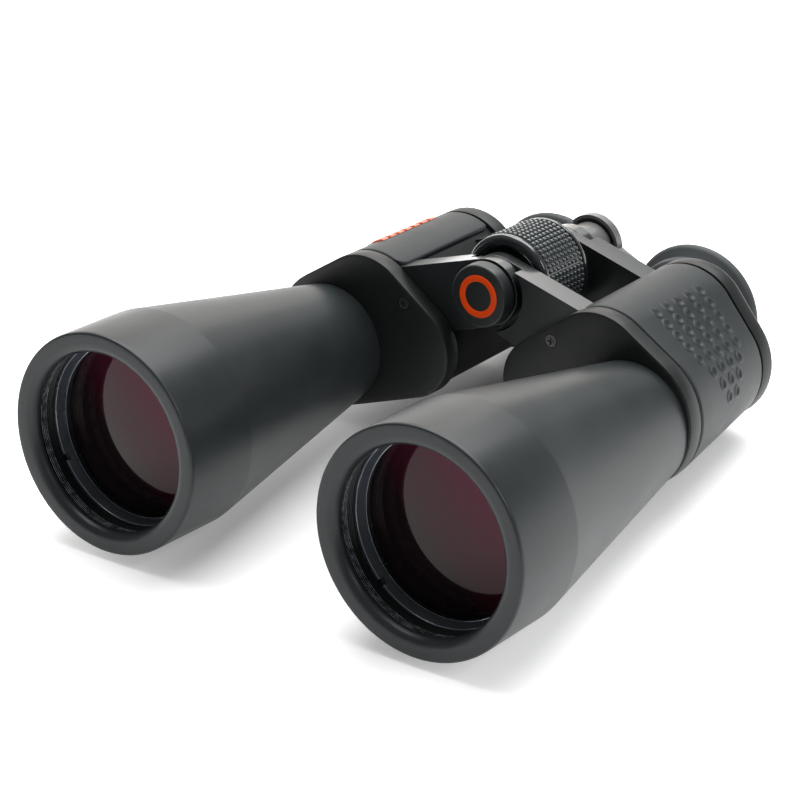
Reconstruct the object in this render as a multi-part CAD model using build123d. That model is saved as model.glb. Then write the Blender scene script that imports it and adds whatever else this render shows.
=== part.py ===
from build123d import *

import os
from math import atan2, cos, degrees, hypot, pi, radians, sin, sqrt

# Astronomy binoculars: Porro prisms, centre focus, rubber armour, as separate pieces.
#
# Every piece is drawn in the optical frame: X across, Y along the light path from the hood's
# front edge to the eyes, Z up from the objective axis. place() moves it once, when it is
# written, so that the origin lies under the middle of the instrument on the plane that the
# hoods stand on. "left" and "right" are the user's; the left half is the +X one.

# --- driving dimensions, mm -------------------------------------------------------------
LENGTH = 225.0
OBJECTIVE_X = 63.33
HOOD_R = 38.5
HOOD_BACK_Y = 30.4
MOUTH_R = 31.0
RING_Y = 4.0
TUBE_WALL = 2.1
NECK_R = 22.5

PLATE_Y = 122.9
BODY_Y = 130.0
COVER_Y = 186.0
COVER_BACK_Y = 194.5
# Each outline is the taut line round three circles: (x, z, radius) of the objective lobe,
# the prism lobe and the eyepiece lobe.
FRONT_LOBES = ((61.85, 2.0, 25.3), (48.8, 15.4, 21.0), (29.7, 5.2, 18.0))
REAR_LOBES = ((57.6, 3.0, 22.0), (48.2, 16.3, 21.0), (29.7, 5.2, 17.0))
ARMOUR = 1.5
BODY_WALL = 2.5
ARMOUR_EDGE_X = 37.0
GROOVE = 0.8

HINGE_Z = 31.4
FRONT_ARM_Y = (130.0, 139.7)
REAR_ARM_Y = (175.0, 185.0)
FRONT_KNUCKLE_R = 12.0
REAR_KNUCKLE_R = 11.0
KNUCKLE_GAP = 0.3
KNUCKLE_CLEARANCE = 2.2
ARM_ROOT = (35.0, 20.0, 13.0)
ARM_ROOT_REAR = (35.0, 19.0, 12.5)
SHAFT_R = 6.0
SHAFT_FRONT_Y = 126.3
SPINDLE_R = 4.0
RUNNING = 0.05

TRIPOD_THREAD_R = 2.55
TRIPOD_DEPTH = 8.0
CAP_R = 11.2
CAP_Y = 124.0
CAP_BACK_Y = 129.1
CAP_BEVEL = 0.6

WHEEL_Y = (141.0, 168.0)
WHEEL_R = 17.6
GRIP_Y = (143.6, 165.6)
GRIP_R = 17.9
GRIP_CORE_R = 15.6

EYE_X = 31.0
EYE_Z = 5.0
BRIDGE_Y = (197.0, 200.6)
BRIDGE_KNUCKLE_BACK_Y = 199.4
BRIDGE_FLOOR_Y = 199.5
BRIDGE_HUB_R = 11.4
BRIDGE_HUB_CLEAR_R = 12.2
BRIDGE_RECESS_R = 10.1
BRIDGE_KNUCKLE_R = 7.4
BRIDGE_PLATE_CUT_R = 8.8
BRIDGE_ARM_R = 5.6
BRIDGE_COLLAR_R = 15.2
BRIDGE_CAP_R = 8.0
SLEEVE_R = 8.8
SLEEVE_Y = 187.6
SPINDLE_Y = 150.0
GUIDE_R = 12.8
GUIDE_LIP_R = 15.5
EYE_COLLAR_Y = (201.0, 211.0)
DIOPTER_Y = (201.2, 210.0)
DIOPTER_R = 19.2
DIOPTER_GROOVES = 36
EYE_TUBE_R = 11.0
EYE_TUBE_Y = (174.0, 211.5)
EYE_HEAD_R = 17.5
EYE_HEAD_Y = (211.5, 220.0)

LENS_R = 31.2
LENS_VERTEX_Y = 15.8
LENS_JOIN_CURVE = -110.0
PRESSURE_RING_R = 30.4
CELL_R = HOOD_R - TUBE_WALL
CELL_Y = (5.0, 30.0)
CELL_SEAT_Y = 15.5
CELL_THREAD_R = 33.0

PRISM_HALF = 21.5
PRISM_WIDTH = 21.0
PRISM_END_R = 22.0
SHELF_Y = (156.5, 159.5)


# --- helpers ----------------------------------------------------------------------------
def place(part):
    """Moves a part from the optical frame to the row's frame."""
    return Pos(0, -LENGTH / 2, HOOD_R) * part


def turned(profile, x=0.0, z=0.0):
    """A ring or disc turned about a line along Y, from (radius, y) points."""
    outline = make_face(Polyline(*profile, close=True))
    return Pos(x, 0, z) * revolve(outline, Axis.Y)


def tube(radius, bore, start, end, x=0.0, z=0.0):
    """A plain tube along Y."""
    corners = [(bore, start), (radius, start), (radius, end), (bore, end)]
    return turned(corners, x, z)


def rod(radius, start, end, x=0.0, z=0.0):
    """A plain cylinder along Y."""
    return turned([(0, start), (radius, start), (radius, end), (0, end)], x, z)


def slab(face, start, end):
    """A flat XZ outline given a thickness along Y."""
    return extrude(Plane.XZ.offset(-start) * face, -(end - start))


def taut_outline(circles, inset=0.0):
    """The face inside the taut line round circles given anticlockwise as (x, z, radius)."""
    rounds = [(x, z, r - inset) for x, z, r in circles]
    count = len(rounds)
    leaving = []
    arriving = [None] * count
    for i, (x0, z0, r0) in enumerate(rounds):
        x1, z1, r1 = rounds[(i + 1) % count]
        span = hypot(x1 - x0, z1 - z0)
        ux, uz = (x1 - x0) / span, (z1 - z0) / span
        along = (r0 - r1) / span
        side = sqrt(1 - along * along)
        nx, nz = ux * along + uz * side, uz * along - ux * side
        leaving.append((x0 + r0 * nx, z0 + r0 * nz))
        arriving[(i + 1) % count] = (x1 + r1 * nx, z1 + r1 * nz)
    edges = []
    for i, (x, z, r) in enumerate(rounds):
        start = atan2(arriving[i][1] - z, arriving[i][0] - x)
        end = atan2(leaving[i][1] - z, leaving[i][0] - x)
        sweep = (end - start) % (2 * pi)
        middle = (x + r * cos(start + sweep / 2), z + r * sin(start + sweep / 2))
        edges.append(ThreePointArc(arriving[i], middle, leaving[i]))
        edges.append(Line(leaving[i], arriving[(i + 1) % count]))
    return make_face(edges)


def lobes_at(y):
    """The body's three circles at a distance along the light path."""
    t = (y - BODY_Y) / (COVER_Y - BODY_Y)
    return tuple(
        tuple(a + (b - a) * t for a, b in zip(front, rear))
        for front, rear in zip(FRONT_LOBES, REAR_LOBES)
    )


def tapered_body(inset, start=BODY_Y, end=COVER_Y):
    """The housing's tapered volume, set in from the outer line."""
    sections = [
        Plane.XZ.offset(-y) * taut_outline(lobes_at(y), inset) for y in (start, end)
    ]
    return loft(sections)


def lens(radius, front_y, front_curve, back_y, back_curve, x=0.0, z=0.0):
    """A round lens; curves are signed radii, positive where the centre lies towards +Y."""

    def rim(vertex, curve, r):
        depth = abs(curve) - sqrt(curve * curve - r * r)
        return vertex + (depth if curve > 0 else -depth)

    half = radius / 2
    front = ThreePointArc(
        (0, front_y),
        (half, rim(front_y, front_curve, half)),
        (radius, rim(front_y, front_curve, radius)),
    )
    edge = Line(front @ 1, (radius, rim(back_y, back_curve, radius)))
    back = ThreePointArc(edge @ 1, (half, rim(back_y, back_curve, half)), (0, back_y))
    axis = Line(back @ 1, front @ 0)
    face = make_face([front, edge, back, axis])
    return Pos(x, 0, z) * revolve(face, Axis.Y)


def screw_heads(places, head_y, length, towards=1):
    """Cross-head screws along Y at (x, z) places; head_y is the head's outer face."""
    head_r, head_t, shank_r, slot = 2.2, 1.3, 1.3, 0.6
    screws = []
    for x, z in places:
        head = rod(head_r, 0, head_t)
        shank = rod(shank_r, head_t, length)
        cross = Box(2.6, 1.2, slot) + Box(slot, 1.2, 2.6)
        screw = (head + shank) - cross
        if towards < 0:
            screw = Rot(0, 0, 180) * screw
        screws.append(Pos(x, head_y, z) * screw)
    return Compound(children=screws)


# --- objective end ----------------------------------------------------------------------
def barrel():
    inner_neck = NECK_R - TUBE_WALL
    return turned(
        [
            (CELL_R, RING_Y),
            (HOOD_R, RING_Y),
            (HOOD_R, HOOD_BACK_Y - 0.8),
            (HOOD_R - 0.12, HOOD_BACK_Y + 0.2),
            (NECK_R, PLATE_Y),
            (NECK_R, BODY_Y),
            (inner_neck, BODY_Y),
            (inner_neck, PLATE_Y),
            (CELL_R, HOOD_BACK_Y + 0.6),
        ],
        OBJECTIVE_X,
    )


def hood_ring():
    ring = tube(HOOD_R, MOUTH_R, 0, RING_Y, OBJECTIVE_X)
    outer = ring.edges().filter_by(GeomType.CIRCLE).sort_by(Axis.Y)
    front_edges = [e for e in outer if abs(e.center().Y) < 0.01]
    ring = fillet(front_edges, 1.7)
    return ring


def objective_cell():
    seat_r, stop_r, stop_y = LENS_R + 0.05, 29.5, 27.0
    return turned(
        [
            (CELL_THREAD_R, CELL_Y[0]),
            (CELL_R, CELL_Y[0]),
            (CELL_R, CELL_Y[1]),
            (stop_r, CELL_Y[1]),
            (stop_r, stop_y),
            (seat_r, stop_y),
            (seat_r, CELL_SEAT_Y),
            (CELL_THREAD_R, CELL_SEAT_Y),
        ],
        OBJECTIVE_X,
    )


def retaining_ring():
    """The threaded ring that holds the lenses, with two slots for a key."""
    front = 12.2
    ring = turned(
        [
            (CELL_THREAD_R, front),
            (CELL_THREAD_R, CELL_SEAT_Y),
            (30.6, CELL_SEAT_Y),
            (31.8, front),
        ],
        OBJECTIVE_X,
    )
    for angle in (200, 20):
        notch = Rot(0, -angle, 0) * Pos(32.5, front, 0) * Box(3.6, 2.4, 2.6)
        ring -= Pos(OBJECTIVE_X, 0, 0) * notch
    return ring


def pressure_ring():
    return tube(LENS_R, PRESSURE_RING_R, CELL_SEAT_Y, 18.05, OBJECTIVE_X)


def crown_lens():
    return lens(LENS_R, LENS_VERTEX_Y, 200.0, 24.9, LENS_JOIN_CURVE, OBJECTIVE_X)


def flint_lens():
    return lens(LENS_R, 25.05, LENS_JOIN_CURVE, 28.0, -400.0, OBJECTIVE_X)


# --- prism housing ----------------------------------------------------------------------
PLATE_SCREWS = ((30.9, 22.4), (69.0, -16.5))
COVER_SCREWS = ((63.0, 15.0), (64.0, -10.0), (42.0, 27.0))


def front_plate():
    plate = slab(taut_outline(FRONT_LOBES), PLATE_Y, BODY_Y)
    plate = chamfer(plate.faces().sort_by(Axis.Y)[0].edges(), 0.5)
    hole = rod(NECK_R, PLATE_Y - 1, BODY_Y + 1, OBJECTIVE_X)
    pocket = rod(12.0, BODY_Y - 3.0, BODY_Y + 1, EYE_X, EYE_Z)
    holes = [rod(1.3, PLATE_Y - 1, BODY_Y + 1, x, z) for x, z in PLATE_SCREWS]
    seats = [rod(2.2, PLATE_Y - 1, PLATE_Y + 1.3, x, z) for x, z in PLATE_SCREWS]
    return plate - hole - pocket - holes - seats


def plate_screws():
    return screw_heads(PLATE_SCREWS, PLATE_Y, BODY_Y - PLATE_Y)


def arm(span, root, knuckle_r, knuckle, body):
    """A hinge arm from the housing to its half of the knuckle; knuckle is its Y span."""
    circles = ((0.0, HINGE_Z, knuckle_r), root)
    web = slab(taut_outline(circles), *span) - body
    web -= rod(knuckle_r + KNUCKLE_CLEARANCE, span[0] - 1, span[1] + 1, 0, HINGE_Z)
    link = slab(taut_outline(circles), *knuckle) - body
    return web + link


def housing(leads):
    """The tapered prism box with its two hinge arms.

    The half that leads has the forward knuckle of the front arm and the rearward knuckle of the
    rear arm; the other half has the two between them.
    """
    body = tapered_body(ARMOUR)
    shell = body - tapered_body(ARMOUR + BODY_WALL, BODY_Y, COVER_Y)
    for span, root, radius, forward in (
        (FRONT_ARM_Y, ARM_ROOT, FRONT_KNUCKLE_R, leads),
        (REAR_ARM_Y, ARM_ROOT_REAR, REAR_KNUCKLE_R, not leads),
    ):
        middle = (span[0] + span[1]) / 2
        if forward:
            knuckle = (span[0], middle - KNUCKLE_GAP / 2)
        else:
            knuckle = (middle + KNUCKLE_GAP / 2, span[1])
        shell += arm(span, root, radius, knuckle, body)
    bore_r = SHAFT_R + (RUNNING if leads else 0.0)
    return shell - rod(bore_r, BODY_Y - 5, COVER_Y + 5, 0, HINGE_Z)


def armour():
    """The rubber skin over the outer side of the housing, clear of the hinge side."""
    start, end = BODY_Y + GROOVE, COVER_Y - GROOVE
    skin = tapered_body(0.0, start, end) - tapered_body(ARMOUR, start, end)
    side = Pos(ARMOUR_EDGE_X - 50, (start + end) / 2, 0) * Box(100, 80, 120)
    skin -= side
    for span, root, radius in (
        (FRONT_ARM_Y, ARM_ROOT, FRONT_KNUCKLE_R),
        (REAR_ARM_Y, ARM_ROOT_REAR, REAR_KNUCKLE_R),
    ):
        circles = ((0.0, HINGE_Z, radius), root)
        skin -= slab(taut_outline(circles, -0.2), span[0] - 0.2, span[1] + 0.2)
    return max(skin.solids(), key=lambda solid: solid.volume)


# The light path steps sideways and back in each prism: SHIFT is the step, and the corner is
# where the light passes from the rear prism to the front one.
SHIFT = hypot(OBJECTIVE_X - EYE_X, EYE_Z) / sqrt(2)
FIRST_TURN = degrees(atan2(EYE_Z, EYE_X - OBJECTIVE_X)) - 45
CORNER = (
    OBJECTIVE_X + SHIFT * cos(radians(FIRST_TURN)),
    SHIFT * sin(radians(FIRST_TURN)),
)


def prism_shelf():
    shelf = slab(taut_outline(lobes_at(SHELF_Y[1]), ARMOUR + BODY_WALL + 0.4), *SHELF_Y)
    for x, z in ((OBJECTIVE_X, 0.0), CORNER, (EYE_X, EYE_Z)):
        shelf -= rod(9.0, SHELF_Y[0] - 1, SHELF_Y[1] + 1, x, z)
    return shelf


def prism(start, end, base_y, towards):
    """A right-angle prism whose long face bridges two points of the light path."""
    middle = ((start[0] + end[0]) / 2, (start[1] + end[1]) / 2)
    angle = degrees(atan2(end[1] - start[1], end[0] - start[0]))
    triangle = make_face(
        Polyline((-PRISM_HALF, 0), (PRISM_HALF, 0), (0, towards * PRISM_HALF), close=True)
    )
    wedge = extrude(triangle, PRISM_WIDTH / 2, both=True)
    wedge &= rod(PRISM_END_R, -PRISM_HALF, PRISM_HALF)
    return Pos(middle[0], base_y, middle[1]) * Rot(0, -angle, 0) * wedge


def rear_prism():
    return prism((OBJECTIVE_X, 0.0), CORNER, SHELF_Y[1], 1)


def front_prism():
    return prism(CORNER, (EYE_X, EYE_Z), SHELF_Y[0], -1)


def prism_clip(start, end, base_y, towards):
    """A flat spring strap over a prism's ridge, down both sides to the shelf."""
    middle = ((start[0] + end[0]) / 2, (start[1] + end[1]) / 2)
    angle = degrees(atan2(end[1] - start[1], end[0] - start[0]))
    strap, gap, wide = 0.6, 0.1, 4.0
    half = PRISM_WIDTH / 2 + gap
    tall = PRISM_HALF + gap
    outer = Pos(0, towards * (tall + strap) / 2, 0) * Box(wide, tall + strap, 2 * (half + strap))
    inner = Pos(0, towards * tall / 2, 0) * Box(wide + 1, tall, 2 * half)
    return Pos(middle[0], base_y, middle[1]) * Rot(0, -angle, 0) * (outer - inner)


def prism_clips():
    rear = prism_clip((OBJECTIVE_X, 0.0), CORNER, SHELF_Y[1], 1)
    front = prism_clip(CORNER, (EYE_X, EYE_Z), SHELF_Y[0], -1)
    return Compound(children=[rear, front])


def rear_cover():
    cover = slab(taut_outline(REAR_LOBES), COVER_Y, COVER_BACK_Y)
    cover = fillet(cover.faces().sort_by(Axis.Y)[-1].edges(), 3.0)
    cover -= slab(taut_outline(REAR_LOBES, 6.0), COVER_Y, COVER_BACK_Y - 3.0)
    cover -= rod(GUIDE_R, COVER_Y - 1, COVER_BACK_Y + 1, EYE_X, EYE_Z)
    for x, z in COVER_SCREWS:
        cover -= rod(1.3, COVER_Y - 1, COVER_BACK_Y + 1, x, z)
        cover -= rod(2.2, COVER_BACK_Y - 1.3, COVER_BACK_Y + 1, x, z)
    return cover


def cover_screws():
    return screw_heads(COVER_SCREWS, COVER_BACK_Y, 7.0, towards=-1)


# --- eyepieces --------------------------------------------------------------------------
def eyepiece_guide():
    """The bush in the rear cover that the eyepiece slides in, with a thin lip outside."""
    bore, start, end = EYE_TUBE_R + RUNNING, COVER_Y - 2.0, COVER_BACK_Y + 0.3
    return turned(
        [
            (bore, start),
            (GUIDE_R, start),
            (GUIDE_R, COVER_BACK_Y),
            (GUIDE_LIP_R, COVER_BACK_Y),
            (GUIDE_LIP_R, end),
            (bore, end),
        ],
        EYE_X,
        EYE_Z,
    )


def eyepiece_barrel():
    head_start, head_end = EYE_HEAD_Y
    return turned(
        [
            (9.5, EYE_TUBE_Y[0]),
            (EYE_TUBE_R, EYE_TUBE_Y[0]),
            (EYE_TUBE_R, head_start),
            (EYE_HEAD_R, head_start),
            (EYE_HEAD_R, head_end),
            (16.0, head_end),
            (16.0, head_start + 1.5),
            (9.5, head_start + 1.5),
        ],
        EYE_X,
        EYE_Z,
    )


def field_lens():
    return lens(9.5, 176.0, 60.0, 180.5, -30.0, EYE_X, EYE_Z)


def eye_lens():
    return lens(12.5, 213.2, 40.0, 218.6, -60.0, EYE_X, EYE_Z)


def eyepiece_ring():
    return tube(16.0, 12.5, 213.0, 218.8, EYE_X, EYE_Z)


def eyecup():
    """A rubber cup gripping the eyepiece head, stepped outside and flared at the lip."""
    return turned(
        [
            (EYE_HEAD_R, 212.6),
            (20.6, 212.6),
            (22.0, 213.6),
            (22.6, 215.2),
            (22.6, 217.2),
            (22.0, 218.0),
            (25.6, 220.6),
            (26.2, 221.6),
            (25.8, 223.2),
            (24.4, LENGTH - 0.3),
            (23.2, LENGTH),
            (21.8, LENGTH - 0.4),
            (19.4, 222.2),
            (17.2, 220.6),
            (16.2, 220.0),
            (EYE_HEAD_R, 220.0),
        ],
        EYE_X,
        EYE_Z,
    )


def diopter_ring():
    ring = tube(DIOPTER_R, EYE_TUBE_R + RUNNING, *DIOPTER_Y, EYE_X, EYE_Z)
    middle = (DIOPTER_Y[0] + DIOPTER_Y[1]) / 2
    for i in range(DIOPTER_GROOVES):
        groove = Pos(DIOPTER_R + 0.2, middle, 0) * Box(1.2, 6.4, 1.0)
        ring -= Pos(EYE_X, 0, EYE_Z) * Rot(0, 360 / DIOPTER_GROOVES * i, 0) * groove
    return ring


def eyepiece_collar():
    start, end = EYE_COLLAR_Y
    return turned(
        [(EYE_TUBE_R, start), (17.0, start), (18.2, start + 1.6), (18.2, end), (EYE_TUBE_R, end)],
        EYE_X,
        EYE_Z,
    )


def bridge_plate():
    """A bridge arm's outline: wide towards the collar on top, straight below."""
    start, end = BRIDGE_Y
    circles = ((EYE_X, EYE_Z, BRIDGE_COLLAR_R), (0.0, HINGE_Z, BRIDGE_ARM_R))
    plate = slab(taut_outline(circles), start, end)
    angle = degrees(atan2(EYE_Z - HINGE_Z, EYE_X))
    below = Rot(0, -angle, 0) * Pos(12.0, start, -BRIDGE_ARM_R - 10) * Box(24, 20, 20)
    return plate - Pos(0, 0, HINGE_Z) * below


def left_bridge_arm():
    """The arm whose hub is a cup: the other arm's knuckle turns inside it."""
    start, end = BRIDGE_Y
    floor = BRIDGE_FLOOR_Y
    hub = rod(BRIDGE_HUB_R, floor, end, 0, HINGE_Z)
    wall = tube(BRIDGE_HUB_R, BRIDGE_RECESS_R, start, floor, 0, HINGE_Z)
    rays = [radians(a) for a in (138, 180, 225, 266)]
    opening = make_face(
        Polyline((0, 0), *[(30 * cos(a), 30 * sin(a)) for a in rays], close=True)
    )
    wall -= Pos(0, 0, HINGE_Z) * slab(opening, start - 1, floor)
    plate = bridge_plate() - rod(BRIDGE_PLATE_CUT_R, start - 1, floor, 0, HINGE_Z)
    arm_part = hub + wall + plate
    arm_part -= rod(SPINDLE_R, start - 1, end + 1, 0, HINGE_Z)
    return arm_part - rod(EYE_TUBE_R, start - 1, end + 1, EYE_X, EYE_Z)


def right_bridge_arm():
    """The arm whose knuckle turns on the spindle, drawn on the +X side."""
    start, end = BRIDGE_Y
    plate = bridge_plate() + rod(BRIDGE_KNUCKLE_R, start, end, 0, HINGE_Z)
    plate -= rod(BRIDGE_HUB_CLEAR_R, BRIDGE_KNUCKLE_BACK_Y, end + 1, 0, HINGE_Z)
    plate -= rod(SPINDLE_R + RUNNING, start - 1, end + 1, 0, HINGE_Z)
    return plate - rod(EYE_TUBE_R + RUNNING, start - 1, end + 1, EYE_X, EYE_Z)


# --- hinge and focus --------------------------------------------------------------------
def hinge_shaft():
    shaft = rod(SHAFT_R, SHAFT_FRONT_Y, REAR_ARM_Y[1], 0, HINGE_Z)
    shaft -= rod(TRIPOD_THREAD_R, SHAFT_FRONT_Y - 1, SHAFT_FRONT_Y + TRIPOD_DEPTH, 0, HINGE_Z)
    return shaft - rod(SPINDLE_R + RUNNING, 141.0, REAR_ARM_Y[1] + 1, 0, HINGE_Z)


def tripod_cap():
    return turned(
        [
            (0, CAP_Y),
            (CAP_R - CAP_BEVEL, CAP_Y),
            (CAP_R, CAP_Y + CAP_BEVEL),
            (CAP_R + 0.3, CAP_BACK_Y),
            (SHAFT_R + RUNNING, CAP_BACK_Y),
            (SHAFT_R + RUNNING, SHAFT_FRONT_Y - 0.2),
            (0, SHAFT_FRONT_Y - 0.2),
        ],
        0,
        HINGE_Z,
    )


def cap_badge():
    """The plain orange ring set in the cap's face."""
    return tube(7.6, 5.4, CAP_Y - 0.25, CAP_Y, 0, HINGE_Z)


def focus_wheel():
    start, end = WHEEL_Y
    bore = SHAFT_R + RUNNING
    return turned(
        [
            (bore, start + 3.5),
            (13.1, start + 3.5),
            (13.1, start + 0.6),
            (14.2, start),
            (16.6, start),
            (WHEEL_R, start + 0.9),
            (WHEEL_R, GRIP_Y[0]),
            (GRIP_CORE_R, GRIP_Y[0]),
            (GRIP_CORE_R, GRIP_Y[1]),
            (WHEEL_R, GRIP_Y[1]),
            (WHEEL_R, end - 0.9),
            (16.6, end),
            (bore, end),
        ],
        0,
        HINGE_Z,
    )


def focus_grip():
    return tube(GRIP_R, GRIP_CORE_R, GRIP_Y[0], GRIP_Y[1], 0, HINGE_Z)


def thrust_washer():
    return tube(9.0, SHAFT_R + RUNNING, WHEEL_Y[1] + 0.2, WHEEL_Y[1] + 1.2, 0, HINGE_Z)


def spacer_bush():
    return tube(8.6, SHAFT_R + RUNNING, WHEEL_Y[1] + 1.3, REAR_ARM_Y[0] - 0.2, 0, HINGE_Z)


def focus_spindle():
    return rod(SPINDLE_R, SPINDLE_Y, BRIDGE_Y[1], 0, HINGE_Z)


def bridge_sleeve():
    return tube(SLEEVE_R, SPINDLE_R, SLEEVE_Y, BRIDGE_Y[0] - 0.2, 0, HINGE_Z)


def bridge_cap():
    back = BRIDGE_Y[1]
    corners = [(0, back), (BRIDGE_CAP_R, back), (BRIDGE_CAP_R - 0.8, back + 1.2), (0, back + 1.2)]
    return turned(corners, 0, HINGE_Z)


# --- the assembly -----------------------------------------------------------------------
PAIRED = {
    "objective_barrel": barrel,
    "hood_ring": hood_ring,
    "objective_cell": objective_cell,
    "retaining_ring": retaining_ring,
    "pressure_ring": pressure_ring,
    "crown_lens": crown_lens,
    "flint_lens": flint_lens,
    "front_plate": front_plate,
    "plate_screws": plate_screws,
    "armour": armour,
    "prism_shelf": prism_shelf,
    "rear_prism": rear_prism,
    "front_prism": front_prism,
    "prism_clips": prism_clips,
    "rear_cover": rear_cover,
    "cover_screws": cover_screws,
    "eyepiece_guide": eyepiece_guide,
    "eyepiece_barrel": eyepiece_barrel,
    "field_lens": field_lens,
    "eye_lens": eye_lens,
    "eyepiece_ring": eyepiece_ring,
    "eyecup": eyecup,
}
CENTRE = {
    "hinge_shaft": hinge_shaft,
    "tripod_cap": tripod_cap,
    "cap_badge": cap_badge,
    "focus_wheel": focus_wheel,
    "focus_grip": focus_grip,
    "thrust_washer": thrust_washer,
    "spacer_bush": spacer_bush,
    "focus_spindle": focus_spindle,
    "bridge_sleeve": bridge_sleeve,
    "bridge_cap": bridge_cap,
}


def build():
    nodes = {name: make() for name, make in CENTRE.items()}
    for name, make in PAIRED.items():
        half = make()
        nodes["left_" + name] = half
        nodes["right_" + name] = mirror(half, Plane.YZ)
    nodes["left_housing"] = housing(leads=False)
    nodes["right_housing"] = mirror(housing(leads=True), Plane.YZ)
    nodes["left_bridge_arm"] = left_bridge_arm()
    nodes["right_bridge_arm"] = mirror(right_bridge_arm(), Plane.YZ)
    nodes["left_eyepiece_collar"] = eyepiece_collar()
    nodes["right_diopter_ring"] = mirror(diopter_ring(), Plane.YZ)
    return nodes


os.makedirs("parts", exist_ok=True)
for node, part in build().items():
    export_step(place(part), f"parts/{node}.step")
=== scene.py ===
import math

import bmesh
import bpy
from mathutils import Matrix, Vector


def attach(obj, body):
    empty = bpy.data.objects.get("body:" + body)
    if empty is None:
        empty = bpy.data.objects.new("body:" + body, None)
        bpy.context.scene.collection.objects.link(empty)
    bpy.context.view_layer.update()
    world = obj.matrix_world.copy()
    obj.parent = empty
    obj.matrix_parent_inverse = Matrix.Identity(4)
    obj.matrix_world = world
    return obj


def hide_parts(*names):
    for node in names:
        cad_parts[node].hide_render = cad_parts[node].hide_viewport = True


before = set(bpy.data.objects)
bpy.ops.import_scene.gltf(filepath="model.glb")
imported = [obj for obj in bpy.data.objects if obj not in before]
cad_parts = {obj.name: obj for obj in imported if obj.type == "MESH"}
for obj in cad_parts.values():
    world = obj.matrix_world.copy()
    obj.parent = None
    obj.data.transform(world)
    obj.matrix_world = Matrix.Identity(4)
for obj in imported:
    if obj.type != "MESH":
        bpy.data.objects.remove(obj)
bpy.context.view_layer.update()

SCENE = bpy.context.scene

# --- the object's dimensions, in mm ------------------------------------------------------
# Shapes are drawn in the optical frame: X across, Y along the light path from the hood's
# front edge, Z up from the objective axis. row() takes them to the shared frame in metres.
MM = 0.001
LENGTH = 225.0
HOOD_R = 38.5
OBJECTIVE_X = 63.33
HINGE_Z = 31.4
AXIS = (0.0, HINGE_Z)
EYE = (31.0, 5.0)
NECK_R = 22.5
PLATE_Y, BODY_Y, COVER_Y, COVER_BACK_Y = 122.9, 130.0, 186.0, 194.5
FRONT_LOBES = ((61.85, 2.0, 25.3), (48.8, 15.4, 21.0), (29.7, 5.2, 18.0))
REAR_LOBES = ((57.6, 3.0, 22.0), (48.2, 16.3, 21.0), (29.7, 5.2, 17.0))
SKIN = 1.5
WALL = 4.0
GROOVE = 0.8
ARMOUR_EDGE_X = 37.0

SIDES = (("left", 1), ("right", -1))


def row(x, y, z):
    """A point of the optical frame as metres in the shared frame."""
    return (x * MM, (y - LENGTH / 2) * MM, (z + HOOD_R) * MM)


# --- materials ---------------------------------------------------------------------------
def add(tree, kind, **inputs):
    """A shader node with its unlinked inputs set by name."""
    made = tree.nodes.new(kind)
    for key, value in inputs.items():
        made.inputs[key.replace("_", " ")].default_value = value
    return made


def map_range(tree, source, low, high, start=0.0, end=1.0):
    """A value taken from the span low to high to the span start to end."""
    made = add(tree, "ShaderNodeMapRange", From_Min=low, From_Max=high, To_Min=start, To_Max=end)
    tree.links.new(source, made.inputs["Value"])
    return made.outputs["Result"]


def combine(tree, operation, *values):
    """One math node over node outputs and plain numbers."""
    made = tree.nodes.new("ShaderNodeMath")
    made.operation = operation
    for place, value in enumerate(values):
        if isinstance(value, float):
            made.inputs[place].default_value = value
        else:
            tree.links.new(value, made.inputs[place])
    return made.outputs["Value"]


def colour_ramp(tree, source, stops):
    """A colour along (place, colour) stops, read off at a value."""
    made = tree.nodes.new("ShaderNodeValToRGB")
    elements = made.color_ramp.elements
    elements[0].position, elements[0].color = stops[0]
    elements[1].position, elements[1].color = stops[-1]
    for place, colour in stops[1:-1]:
        elements.new(place).color = colour
    tree.links.new(source, made.inputs["Fac"])
    return made.outputs["Color"]


def grey(value, tint=(1.0, 1.0, 1.0)):
    """An opaque grey, tinted."""
    return (value * tint[0], value * tint[1], value * tint[2], 1.0)


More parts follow.
